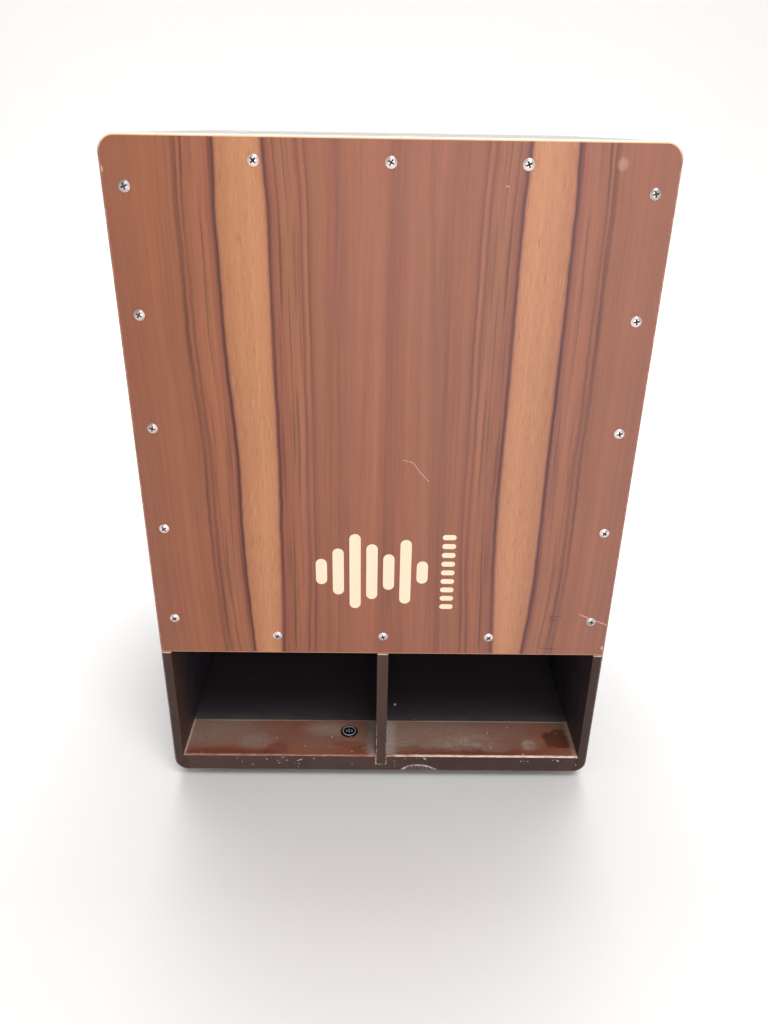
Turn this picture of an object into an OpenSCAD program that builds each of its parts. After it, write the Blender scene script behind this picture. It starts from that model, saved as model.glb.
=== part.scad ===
// A box drum (cajon) with two front ports and fixed inner snares.
// Millimetres. X runs left to right, Y from front to back, Z up.
// The origin is on the ground, under the middle of the box.

/* [Box] */
// Width across both side panels
body_w = 350; // [300:1:420]
// Height of the box without its feet
body_h = 492; // [400:1:600]
// Depth from the playing face to the back face
body_d = 300; // [250:1:400]
// Thickness of a side panel
side_t = 8; // [6:0.5:12]
// Thickness of the top panel, which is the seat
top_t = 8; // [6:0.5:18]
// Thickness of the bottom panel
bottom_t = 17; // [12:0.5:22]
// Thickness of the back panel
back_t = 6; // [3:0.5:12]
// Radius of the four long outer corners
corner_r = 11; // [2:0.5:14]
// Depth of the housings in the bottom panel for the divider and the sides
housing_d = 9.5; // [4:0.5:10.5]
// Depth of the rebates in the top panel for the sides
top_rebate = 4; // [2:0.5:5]
// Room for glue at each face of a housed board
glue_gap = 0.1; // [0.05:0.05:0.3]

/* [Ports] */
// Clear height of the two ports
port_h = 105; // [60:1:140]
// Thickness of the divider between the ports
divider_t = 9; // [6:0.5:15]
// Thickness of the shelf that roofs the ports
shelf_t = 10; // [6:0.5:16]
// How far the shelf is housed in the side panels and the divider in the shelf
shelf_housing = 3; // [1:0.5:4]
// Open gap between the shelf and the back panel
rear_gap = 80; // [50:1:120]
// Gap between the ledge of the sides and the lower edge of the playing plate
ledge_gap = 1; // [0.5:0.1:3]

/* [Playing plate] */
// Thickness of the playing plate
plate_t = 3.5; // [2:0.5:6]
// Screws in each side column
column_screws = 5; // [3:1:7]
// Screws in the top row and in the bottom row
row_screws = 3; // [1:2:3]
// Distance between neighbouring screws of a row
row_pitch = 82.5; // [40:0.5:100]
// Height between a row and the nearest screw of a side column
corner_step = 15.4; // [12:0.2:30]

/* [Battens] */
// Width of every batten, measured across the face it carries
batten_w = 12; // [10:0.5:20]
// Depth of every batten, front to back
batten_d = 22; // [20:0.5:30]

/* [Screws] */
// Diameter of a plate screw's head
head_d = 7.2; // [6:0.2:9]
// Height of a plate screw's head
head_h = 1.4; // [1:0.1:2]
// Diameter of a plate screw's shank
shank_d = 3.5; // [3:0.1:4]
// Length of a plate screw under its head
screw_len = 15; // [12:0.5:16]
// Width of a cross recess's arms
cross_w = 1; // [0.8:0.1:1.2]
// Radial gap between a shank and the pilot hole in the wood
pilot_gap = 0.05; // [0.05:0.05:0.2]
// Radial gap between a shank and the hole it passes through
hole_gap = 0.3; // [0.2:0.1:0.6]

/* [Snares] */
// Distance from the top of the box down to the middle of the snare rail
rail_drop = 128; // [110:1:180]
// Height of the snare rail
rail_h = 36; // [32:1:50]
// Depth of the snare rail, front to back
rail_d = 28; // [24:1:40]
// Gap between the playing plate and the snare rail
rail_stand = 7; // [6.5:0.5:10]
// Gap between the snare rail's ends and the wood beside them
rail_gap = 0.5; // [0.2:0.1:1.5]
// Distance from the middle of the box to the middle of a snare set
snare_x = 95; // [60:1:100]
// Wires in one snare set
wire_count = 10; // [6:1:12]
// Distance between neighbouring wires
wire_pitch = 4; // [3:0.5:4.5]
// Outer diameter of one coiled wire
wire_d = 1.8; // [1.2:0.1:2]
// Length of one wire, from inside its clip to its tip
wire_len = 98; // [60:1:100]
// How far a wire reaches into its clip
wire_bite = 6; // [4:0.5:7]
// Gap between the wires' tips and the playing plate
tip_gap = 0.4; // [0.2:0.1:1]
// Height of a snare clip
clip_h = 14; // [13:0.5:16]
// Thickness of a snare clip
clip_t = 3; // [2.8:0.1:3.4]
// Thickness of the damping felt on the rail
felt_t = 1; // [0.6:0.1:1]
// Height of the damping felt
felt_h = 10; // [6:0.5:10]

/* [Feet] */
// Height of a rubber foot
foot_h = 8; // [7:0.5:15]
// Diameter of a foot where it meets the bottom panel
foot_d = 30; // [26:1:40]
// Diameter of a foot at the ground
foot_tip_d = 26; // [22:1:26]
// Distance from the faces of the box to the middle of a foot
foot_inset = 34; // [24:1:60]
// Rubber left between the washer and the bottom panel
foot_web = 3.2; // [2:0.2:3.4]
// Diameter of the washer in a foot
washer_d = 12; // [11:0.5:14]
// Thickness of the washer in a foot
washer_t = 1; // [0.8:0.1:1.2]
// Diameter of a foot screw's head
foot_head_d = 8; // [7:0.5:9]
// Height of a foot screw's head
foot_head_h = 2; // [1.5:0.1:2.2]
// Diameter of a foot screw's shank
foot_shank_d = 4; // [3:0.1:4.5]
// Wood left above the tip of a foot screw
screw_floor = 5; // [3:0.5:7]

/* [Badge] */
// Distance from the middle of the box to the middle of the badge
badge_x = 28; // [16:1:60]
// Distance from the playing face to the middle of the badge
badge_y = 29; // [12:1:60]
// Diameter of the badge
badge_d = 15; // [10:0.5:24]
// Thickness of the badge
badge_t = 1.2; // [0.8:0.1:2]
// Radial width of the badge's ring
badge_ring_w = 1; // [0.6:0.1:2]
// How far the ring stands out of the badge
badge_ring_h = 0.4; // [0.2:0.1:0.6]

/* [Hidden] */
$fn = 64;
over = 1;   // how far a cut runs past the face it opens

// Planes of the box
front_y = -body_d / 2;
back_y = body_d / 2;
frame_y0 = front_y + plate_t;       // back of the playing plate
frame_y1 = back_y - back_t;         // front of the back panel
inner_x = body_w / 2 - side_t;      // inner face of the right side panel
body_z0 = foot_h;
body_z1 = body_z0 + body_h;
port_z0 = body_z0 + bottom_t;       // floor of the ports
shelf_z0 = port_z0 + port_h;        // roof of the ports and lower edge of the plate
shelf_z1 = shelf_z0 + shelf_t;
shelf_y1 = frame_y1 - rear_gap;
ledge_z = shelf_z0 - ledge_gap;     // top of the side panels' lower front part
top_z0 = body_z1 - top_t;
side_z0 = port_z0 - housing_d;
side_z1 = top_z0 + top_rebate;

// Plate screws, as [x, z]
column_x = inner_x - batten_w / 2;
top_row_z = top_z0 - batten_w / 2;
bottom_row_z = shelf_z1 + batten_w / 2;
column_z0 = bottom_row_z + corner_step;
column_pitch = (top_row_z - bottom_row_z - 2 * corner_step) / (column_screws - 1);
column_z = [for (i = [0 : column_screws - 1]) column_z0 + i * column_pitch];
row_x = [for (i = [0 : row_screws - 1]) (i - (row_screws - 1) / 2) * row_pitch];
plate_screw_at = concat(
    [for (x = [-column_x, column_x], z = column_z) [x, z]],
    [for (z = [bottom_row_z, top_row_z], x = row_x) [x, z]]
);
pilot_tip = 0.5;                    // air between a screw's tip and the end of its pilot hole
plate_bite = screw_len - plate_t;   // wood that a plate screw goes into

// Snare rail, its screws and what it carries
batten_in_x = inner_x - batten_w;   // inner face of the right battens
batten_back = frame_y0 + batten_d;  // back face of the front battens
rail_z = body_z1 - rail_drop;
rail_y0 = frame_y0 + rail_stand;
rail_y1 = rail_y0 + rail_d;
rail_bite = 7;                      // wood of the batten that a rail screw goes into
clip_lift = 3;                      // from the rail's lower edge up to a clip
clip_z0 = rail_z - rail_h / 2 + clip_lift;
clip_z1 = clip_z0 + clip_h;
clip_w = wire_count * wire_pitch + 6;
clip_screw_x = clip_w / 2 - 5;
clip_screw_z = clip_z0 + 4;
clip_head_d = 5;
clip_head_h = 1.2;
clip_shank_d = 2.5;
clip_bite = 10;
felt_drop = 2;                      // from the rail's upper edge down to the felt
wire_y0 = rail_y0 - clip_t / 2;
wire_y1 = frame_y0 + tip_gap + wire_d / 2;
wire_lean = asin((wire_y0 - wire_y1) / wire_len);

// Feet, as [x, y]
foot_at = [for (x = [-1, 1], y = [-1, 1])
    [x * (body_w / 2 - foot_inset), y * (body_d / 2 - foot_inset)]];
web_z = foot_h - foot_web;          // seat of the washer
washer_gap = 0.5;
foot_bite = bottom_t - screw_floor;

// The outline of the box seen from the front, with its rounded corners
module box_outline() {
    x = body_w / 2 - corner_r;
    translate([-x, body_z0]) square([2 * x, body_h]);
    translate([-body_w / 2, body_z0 + corner_r]) square([body_w, body_h - 2 * corner_r]);
    for (side = [-x, x], z = [body_z0 + corner_r, body_z1 - corner_r])
        translate([side, z]) circle(r = corner_r);
}

// A slab of the box between two depths
module box_slab(y0, y1) {
    translate([0, y1, 0]) rotate([90, 0, 0]) linear_extrude(y1 - y0) box_outline();
}

// A block given by its lowest and highest corners
module block(low, high) {
    translate(low) cube(high - low);
}

module on_side(side) {
    if (side < 0) mirror([1, 0, 0]) children();
    else children();
}

// A hole along Y that starts at depth y and runs back
module hole_y(x, y, z, d, len) {
    translate([x, y, z]) rotate([-90, 0, 0]) cylinder(d = d, h = len);
}

// A screw along +Z with its head under z = 0: domed head, cross recess, shank and point
module screw(head_d, head_h, shank_d, len, arm_w) {
    dome_r = (head_d * head_d / 4 + head_h * head_h) / (2 * head_h);
    recess = 0.7 * head_h;
    arm = 0.55 * head_d;
    point = shank_d;
    difference() {
        union() {
            intersection() {
                translate([0, 0, dome_r - head_h]) sphere(r = dome_r, $fn = 96);
                translate([0, 0, -head_h - over]) cylinder(d = head_d, h = head_h + over);
            }
            cylinder(d = shank_d, h = len - point);
            translate([0, 0, len - point]) cylinder(d1 = shank_d, d2 = 0.6, h = point);
        }
        for (turn = [0, 90]) rotate([0, 0, turn])
            block([-arm / 2, -arm_w / 2, -head_h - over], [arm / 2, arm_w / 2, -head_h + recess]);
    }
}

module side_panel(side) {
    on_side(side) difference() {
        intersection() {
            box_slab(front_y, frame_y1);
            block([inner_x, front_y - over, side_z0], [body_w / 2 + over, frame_y1 + over, side_z1]);
        }
        // Rebate for the playing plate
        block([inner_x - over, front_y - over, ledge_z], [body_w / 2 + over, frame_y0, body_z1 + over]);
        // Housing for the shelf
        block([inner_x - over, frame_y0 - over, shelf_z0 - glue_gap],
            [inner_x + shelf_housing, shelf_y1 + glue_gap, shelf_z1 + glue_gap]);
    }
}

module left_side_panel() {
    color("#50403a") side_panel(-1);
}

module right_side_panel() {
    color("#50403a") side_panel(1);
}

module top_panel() {
    color("#5a4640") difference() {
        intersection() {
            box_slab(frame_y0, frame_y1);
            block([-body_w, front_y, top_z0], [body_w, back_y, body_z1 + over]);
        }
        for (side = [-1, 1]) on_side(side)
            block([inner_x, front_y, top_z0 - over], [body_w / 2 + over, back_y, side_z1]);
    }
}

module bottom_panel() {
    color("#50403a") difference() {
        intersection() {
            box_slab(front_y, frame_y1);
            block([-body_w, front_y - over, body_z0 - over], [body_w, back_y, port_z0]);
        }
        for (side = [-1, 1]) on_side(side)
            block([inner_x, front_y - over, side_z0], [body_w / 2 + over, back_y, port_z0 + over]);
        // Housing for the divider
        block([-divider_t / 2 - glue_gap, front_y - over, side_z0],
            [divider_t / 2 + glue_gap, shelf_y1 + glue_gap, port_z0 + over]);
        for (at = foot_at) translate([at[0], at[1], body_z0 - over])
            cylinder(d = foot_shank_d + 2 * pilot_gap, h = foot_bite + pilot_tip + over);
    }
}

module back_panel() {
    color("#50403a") box_slab(frame_y1, back_y);
}

module playing_plate() {
    color("#ac7662") difference() {
        intersection() {
            box_slab(front_y, frame_y0);
            block([-body_w, front_y - over, shelf_z0], [body_w, frame_y0 + over, body_z1 + over]);
        }
        for (at = plate_screw_at)
            hole_y(at[0], front_y - over, at[1], shank_d + 2 * hole_gap, plate_t + 2 * over);
    }
}

module port_divider() {
    color("#50403a") difference() {
        block([-divider_t / 2, front_y, side_z0], [divider_t / 2, shelf_y1, shelf_z0 + shelf_housing]);
        block([-divider_t, front_y - over, ledge_z], [divider_t, frame_y0, shelf_z1]);
    }
}

module port_shelf() {
    color("#2c2624") difference() {
        block([-inner_x - shelf_housing, frame_y0, shelf_z0],
            [inner_x + shelf_housing, shelf_y1, shelf_z1]);
        block([-divider_t / 2 - glue_gap, frame_y0 - over, shelf_z0 - over],
            [divider_t / 2 + glue_gap, shelf_y1 + over, shelf_z0 + shelf_housing]);
    }
}

module plate_pilots() {
    for (at = plate_screw_at) hole_y(at[0], frame_y0 - over, at[1],
        shank_d + 2 * pilot_gap, plate_bite + pilot_tip + over);
}

// A front side batten, with pilots for the plate screws and one for the snare rail
module front_side_batten(side) {
    color("#c9a77c") difference() {
        on_side(side) block([batten_in_x, frame_y0, shelf_z1], [inner_x, batten_back, top_z0]);
        plate_pilots();
        hole_y(side * column_x, batten_back - rail_bite - pilot_tip, rail_z,
            shank_d + 2 * pilot_gap, rail_bite + pilot_tip + over);
    }
}

module front_left_batten() {
    front_side_batten(-1);
}

module front_right_batten() {
    front_side_batten(1);
}

// A front cross batten between the two side battens, from z0 upwards
module front_cross_batten(z0) {
    color("#c9a77c") difference() {
        block([-batten_in_x, frame_y0, z0], [batten_in_x, batten_back, z0 + batten_w]);
        plate_pilots();
    }
}

module front_top_batten() {
    front_cross_batten(top_z0 - batten_w);
}

module front_bottom_batten() {
    front_cross_batten(shelf_z1);
}

module rear_side_batten(side) {
    color("#c9a77c") on_side(side)
        block([batten_in_x, frame_y1 - batten_d, port_z0], [inner_x, frame_y1, top_z0]);
}

module rear_left_batten() {
    rear_side_batten(-1);
}

module rear_right_batten() {
    rear_side_batten(1);
}

module rear_cross_batten(z0) {
    color("#c9a77c")
        block([-batten_in_x, frame_y1 - batten_d, z0], [batten_in_x, frame_y1, z0 + batten_w]);
}

module rear_top_batten() {
    rear_cross_batten(top_z0 - batten_w);
}

module rear_bottom_batten() {
    rear_cross_batten(port_z0);
}

// The rail runs behind the front side battens, with its ends halved over them
module snare_rail() {
    color("#c9a77c") difference() {
        block([-inner_x + rail_gap, rail_y0, rail_z - rail_h / 2],
            [inner_x - rail_gap, rail_y1, rail_z + rail_h / 2]);
        for (side = [-1, 1]) on_side(side) {
            block([batten_in_x - rail_gap, rail_y0 - over, rail_z - rail_h],
                [inner_x, batten_back, rail_z + rail_h]);
            hole_y(column_x, batten_back - over, rail_z,
                shank_d + 2 * hole_gap, rail_y1 - batten_back + 2 * over);
        }
        for (side = [-1, 1], x = [-clip_screw_x, clip_screw_x])
            hole_y(side * snare_x + x, rail_y0 - over, clip_screw_z,
                clip_shank_d + 2 * pilot_gap, clip_bite + pilot_tip + over);
    }
}

// One snare set's wires, leaning forward until their tips almost touch the plate
module snare_wires(x, d) {
    for (i = [0 : wire_count - 1])
        translate([x + (i - (wire_count - 1) / 2) * wire_pitch, wire_y0, clip_z1 - wire_bite])
            rotate([wire_lean, 0, 0]) cylinder(d = d, h = wire_len, $fn = 24);
}

module snare_clip(x) {
    color("#b9bcc0") difference() {
        block([x - clip_w / 2, rail_y0 - clip_t, clip_z0], [x + clip_w / 2, rail_y0, clip_z1]);
        snare_wires(x, wire_d);
        for (screw_x = [-clip_screw_x, clip_screw_x])
            hole_y(x + screw_x, rail_y0 - clip_t - over, clip_screw_z,
                clip_shank_d + 2 * hole_gap, clip_t + 2 * over);
    }
}

module left_snare_clip() {
    snare_clip(-snare_x);
}

module right_snare_clip() {
    snare_clip(snare_x);
}

module left_snare_wires() {
    color("#d4d6d8") snare_wires(-snare_x, wire_d);
}

module right_snare_wires() {
    color("#d4d6d8") snare_wires(snare_x, wire_d);
}

module snare_felt() {
    felt_z1 = rail_z + rail_h / 2 - felt_drop;
    color("#2b2b2d") for (x = [-snare_x, snare_x])
        block([x - clip_w / 2, rail_y0 - felt_t, felt_z1 - felt_h], [x + clip_w / 2, rail_y0, felt_z1]);
}

module clip_screws() {
    color("#c8c4bf") for (side = [-1, 1], x = [-clip_screw_x, clip_screw_x])
        translate([side * snare_x + x, rail_y0 - clip_t, clip_screw_z]) rotate([-90, 0, 0])
            screw(clip_head_d, clip_head_h, clip_shank_d, clip_t + clip_bite, cross_w);
}

module rail_screws() {
    color("#c8c4bf") for (x = [-column_x, column_x])
        translate([x, rail_y1, rail_z]) rotate([90, 0, 0])
            screw(head_d, head_h, shank_d, rail_y1 - batten_back + rail_bite, cross_w);
}

module plate_screws() {
    color("#d8cfd0") for (at = plate_screw_at)
        translate([at[0], front_y, at[1]]) rotate([-90, 0, 0])
            screw(head_d, head_h, shank_d, screw_len, cross_w);
}

module rubber_feet() {
    color("#1d1c1c") for (at = foot_at) translate([at[0], at[1], 0]) difference() {
        cylinder(d1 = foot_tip_d, d2 = foot_d, h = foot_h);
        translate([0, 0, -over]) cylinder(d = foot_shank_d + 2 * hole_gap, h = foot_h + 2 * over);
        translate([0, 0, -over]) cylinder(d = washer_d + 2 * washer_gap, h = web_z + over);
    }
}

module foot_washers() {
    color("#b9bcc0") for (at = foot_at) translate([at[0], at[1], web_z - washer_t]) difference() {
        cylinder(d = washer_d, h = washer_t);
        translate([0, 0, -over]) cylinder(d = foot_shank_d + 2 * hole_gap, h = washer_t + 2 * over);
    }
}

module foot_screws() {
    color("#c8c4bf") for (at = foot_at) translate([at[0], at[1], web_z - washer_t])
        screw(foot_head_d, foot_head_h, foot_shank_d, washer_t + foot_web + foot_bite, cross_w);
}

module badge_disc() {
    color("#17171a") translate([-badge_x, front_y + badge_y, port_z0])
        cylinder(d = badge_d, h = badge_t);
}

module badge_ring() {
    ring_d = 0.8 * badge_d;
    color("#c8c8cc") translate([-badge_x, front_y + badge_y, port_z0 + badge_t]) difference() {
        cylinder(d = ring_d, h = badge_ring_h);
        translate([0, 0, -over]) cylinder(d = ring_d - 2 * badge_ring_w, h = badge_ring_h + 2 * over);
    }
}

left_side_panel();
right_side_panel();
top_panel();
bottom_panel();
back_panel();
playing_plate();
port_divider();
port_shelf();
front_left_batten();
front_right_batten();
front_top_batten();
front_bottom_batten();
rear_left_batten();
rear_right_batten();
rear_top_batten();
rear_bottom_batten();
snare_rail();
left_snare_clip();
right_snare_clip();
left_snare_wires();
right_snare_wires();
snare_felt();
clip_screws();
rail_screws();
plate_screws();
rubber_feet();
foot_washers();
foot_screws();
badge_disc();
badge_ring();
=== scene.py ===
import math
import random

import bmesh
import bpy
from mathutils import Matrix, Vector


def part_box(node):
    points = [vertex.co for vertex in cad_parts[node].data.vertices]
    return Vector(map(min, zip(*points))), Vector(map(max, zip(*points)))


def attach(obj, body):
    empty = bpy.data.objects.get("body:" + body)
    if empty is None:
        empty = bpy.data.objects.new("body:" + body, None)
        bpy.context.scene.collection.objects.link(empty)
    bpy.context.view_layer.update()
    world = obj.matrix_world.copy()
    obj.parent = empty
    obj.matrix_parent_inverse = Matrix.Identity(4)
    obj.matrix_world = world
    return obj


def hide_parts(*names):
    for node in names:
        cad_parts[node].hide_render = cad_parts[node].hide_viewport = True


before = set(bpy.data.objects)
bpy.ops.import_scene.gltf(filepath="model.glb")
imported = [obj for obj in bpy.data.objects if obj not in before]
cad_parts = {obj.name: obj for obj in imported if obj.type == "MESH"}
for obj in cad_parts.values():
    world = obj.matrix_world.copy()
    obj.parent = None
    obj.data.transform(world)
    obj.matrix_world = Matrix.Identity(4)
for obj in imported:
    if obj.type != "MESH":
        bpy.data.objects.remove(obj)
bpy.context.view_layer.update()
scene = bpy.context.scene
scene.view_settings.view_transform = "Standard"
mm = 0.001
weld = 0.01 * mm         # corners closer than this are one

# the planes that everything else is measured from
plateLow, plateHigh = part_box("playing_plate")
floorLow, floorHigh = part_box("bottom_panel")
sideLow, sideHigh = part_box("right_side_panel")
faceY = plateLow.y                  # the playing face
boxBottom = floorLow.z              # underside of the bottom panel
portFloor = floorHigh.z
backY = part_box("back_panel")[1].y
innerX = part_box("front_right_batten")[1].x          # inner faces of the sides
print("frame loaded:", len(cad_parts), "nodes")


cameraSpec = {
    "lens": 28.125,                         # on a 36 mm frame held upright
    "place": (-7.37, -521.42, 497.16),      # mm, from the middle of the playing face's foot
    "turn": -0.708, "tilt": -25.715, "roll": 0.93,
}
camera = bpy.data.objects.new("camera", bpy.data.cameras.new("camera"))
camera.data.lens = cameraSpec["lens"]
camera.data.sensor_width = 36
camera.data.clip_start = 0.01
place = Vector((0, faceY, boxBottom)) + Vector(cameraSpec["place"]) * mm
camera.matrix_world = (Matrix.Translation(place)
    @ Matrix.Rotation(math.radians(cameraSpec["turn"]), 4, "Z")
    @ Matrix.Rotation(math.radians(90 + cameraSpec["tilt"]), 4, "X")
    @ Matrix.Rotation(math.radians(cameraSpec["roll"]), 4, "Z"))
scene.collection.objects.link(camera)
scene.camera = camera

lightSpec = {
    "sky": 0.30,                            # even light from all round
    "key": dict(place=(0.40, -0.98, 1.75), aim=(0.05, -0.15, 0.30), size=0.7, power=13),
    "fill": dict(place=(0.10, -1.75, 0.34), aim=(0, -0.15, 0.12), size=0.8, power=7),
    "rear": dict(place=(0, 1.9, 2.8), aim=(0, 1.1, 0), size=3.0, power=105),
}


def softBox(name, place, aim, size, power):
    lamp = bpy.data.lights.new(name, "AREA")
    lamp.size = size
    lamp.energy = power
    thing = bpy.data.objects.new(name, lamp)
    thing.location = place
    thing.rotation_euler = (Vector(aim) - Vector(place)).to_track_quat("-Z", "Y").to_euler()
    thing.visible_camera = False
    scene.collection.objects.link(thing)


for lightName in ("key", "fill", "rear"):
    softBox(lightName, **lightSpec[lightName])
world = bpy.data.worlds.new("studio")
scene.world = world
world.use_nodes = True
world.node_tree.nodes["Background"].inputs["Color"].default_value = (1, 1, 1, 1)
world.node_tree.nodes["Background"].inputs["Strength"].default_value = lightSpec["sky"]


def tint(code):
    # "#rrggbb" as a linear colour
    parts = [int(code[i:i + 2], 16) / 255 for i in (1, 3, 5)]
    return tuple(c / 12.92 if c <= 0.04045 else ((c + 0.055) / 1.055) ** 2.4 for c in parts) + (1.0,)


class Shader:
    # a material's nodes, written one call per node
    def __init__(self, name):
        self.material = bpy.data.materials.new(name)
        self.material.use_nodes = True
        self.tree = self.material.node_tree
        self.surface = self.tree.nodes["Principled BSDF"]
        coords = self.tree.nodes.new("ShaderNodeTexCoord")
        scaled = self.add("ShaderNodeVectorMath", {0: coords.outputs["Object"], 1: (1000, 1000, 1000)},
            operation="MULTIPLY")
        self.point = scaled.outputs[0]      # millimetres
        split = self.add("ShaderNodeSeparateXYZ", {0: self.point})
        self.x, self.y, self.z = split.outputs
        self.height = self.plus(self.z, -boxBottom / mm)        # above the box's underside
        self.depth = self.plus(self.y, -faceY / mm)             # behind the playing face

    def put(self, socket, value):
        if isinstance(value, bpy.types.NodeSocket):
            self.tree.links.new(value, socket)
        else:
            socket.default_value = tint(value) if isinstance(value, str) else value

    def add(self, kind, values, **settings):
        made = self.tree.nodes.new(kind)
        for key, value in settings.items():
            setattr(made, key, value)
        for key, value in values.items():
            self.put(made.inputs[key], value)
        return made

    def calc(self, operation, a, b=0.0):
        return self.add("ShaderNodeMath", {0: a, 1: b}, operation=operation).outputs[0]

    def plus(self, *terms):
        total = terms[0]
        for term in terms[1:]:
            total = self.calc("ADD", total, term)
        return total

    def times(self, *terms):
        total = terms[0]
        for term in terms[1:]:
            total = self.calc("MULTIPLY", total, term)
        return total

    def swing(self, noise, amount):
        # a noise as a rise and fall about nought
        return self.times(self.plus(noise, -0.5), amount)

    def span(self, value, low, high, toLow=0.0, toHigh=1.0, smooth=True):
        kind = "SMOOTHSTEP" if smooth else "LINEAR"
        return self.add("ShaderNodeMapRange", {"Value": value, "From Min": low, "From Max": high,
            "To Min": toLow, "To Max": toHigh}, interpolation_type=kind).outputs[0]

    def stretch(self, x, y, z, shift=(0, 0, 0)):
        values = {"Vector": self.point, "Location": shift, "Scale": (x, y, z)}
        return self.add("ShaderNodeMapping", values).outputs[0]

    def noise(self, vector, scale=1.0, detail=2.0, rough=0.5, warp=0.0):
        return self.add("ShaderNodeTexNoise", {"Vector": vector, "Scale": scale, "Detail": detail,
            "Roughness": rough, "Distortion": warp}).outputs["Fac"]

    def evenNoise(self, scale, shift=(0, 0, 0), **settings):
        return self.noise(self.stretch(scale, scale, scale, shift), **settings)

    def mix(self, amount, a, b, blend="MIX"):
        made = self.add("ShaderNodeMix", {}, data_type="RGBA", blend_type=blend)
        self.put(made.inputs[0], amount)
        self.put(made.inputs[6], a)
        self.put(made.inputs[7], b)
        return made.outputs[2]

    def ramp(self, value, stops):
        made = self.add("ShaderNodeValToRGB", {0: value})
        elements = made.color_ramp.elements
        while len(elements) < len(stops):
            elements.new(1.0)
        for element, (at, colour) in zip(elements, sorted(stops)):
            element.position = at
            element.color = tint(colour)
        return made.outputs[0]

    def combine(self, x=0.0, y=0.0, z=0.0):
        return self.add("ShaderNodeCombineXYZ", {0: x, 1: y, 2: z}).outputs[0]

    def stroke(self, start, end, width):
        # 1 on a straight scratch between two places (mm across, mm up) on the front, 0 away from it
        ax, az = start
        bx, bz = end
        length = math.hypot(bx - ax, bz - az)
        ux, uz = (bx - ax) / length, (bz - az) / length
        dx, dz = self.plus(self.x, -ax), self.plus(self.height, -az)
        along = self.plus(self.times(dx, ux), self.times(dz, uz))
        aside = self.calc("ABSOLUTE", self.calc("SUBTRACT", self.times(dx, uz), self.times(dz, ux)))
        past = self.calc("ABSOLUTE", self.plus(along, -length / 2))
        inside = self.span(past, length / 2 - 0.5, length / 2 + 0.3, 1.0, 0.0)
        return self.times(self.span(aside, width * 0.4, width, 1.0, 0.0), inside)

    def strokes(self, marks):
        total = 0.0
        for start, end, width in marks:
            total = self.plus(total, self.stroke(start, end, width))
        return total

    def oval(self, middle, radii, plane="front"):
        # distance from an oval's middle, 1 on its outline; on the front or on the ports' floor
        second = self.height if plane == "front" else self.depth
        a = self.calc("POWER", self.times(self.plus(self.x, -middle[0]), 1 / radii[0]), 2)
        b = self.calc("POWER", self.times(self.plus(second, -middle[1]), 1 / radii[1]), 2)
        return self.calc("SQRT", self.plus(a, b))

    def blot(self, middle, radii, soft=0.25, plane="front", ragged=0.0):
        # 1 inside an oval, 0 outside; ragged moves the outline in and out
        reach = self.plus(self.oval(middle, radii, plane), ragged)
        return self.span(reach, 1 - soft, 1 + soft, 1.0, 0.0)

    def specks(self, scale, channel, bare, edge, core, ragged=0.0):
        # 1 on scattered specks; bare is the share of the cells that have none
        cells = self.add("ShaderNodeTexVoronoi", {"Vector": self.point, "Scale": scale, "Randomness": 1.0})
        lot = self.add("ShaderNodeSeparateColor", {0: cells.outputs["Color"]}).outputs[channel]
        distance = self.calc("SUBTRACT", cells.outputs["Distance"], ragged)
        return self.times(self.span(distance, edge, core), self.span(lot, bare, bare + 0.02))

    def bump(self, height, depth, strength):
        values = {"Height": height, "Distance": depth, "Strength": strength}
        return self.add("ShaderNodeBump", values).outputs[0]

    def finish(self, colour, rough, normal=None, **fixed):
        self.put(self.surface.inputs["Base Color"], colour)
        self.put(self.surface.inputs["Roughness"], rough)
        if normal is not None:
            self.put(self.surface.inputs["Normal"], normal)
        for key, value in fixed.items():
            self.surface.inputs[key.replace("_", " ")].default_value = value
        return self.material


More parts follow.
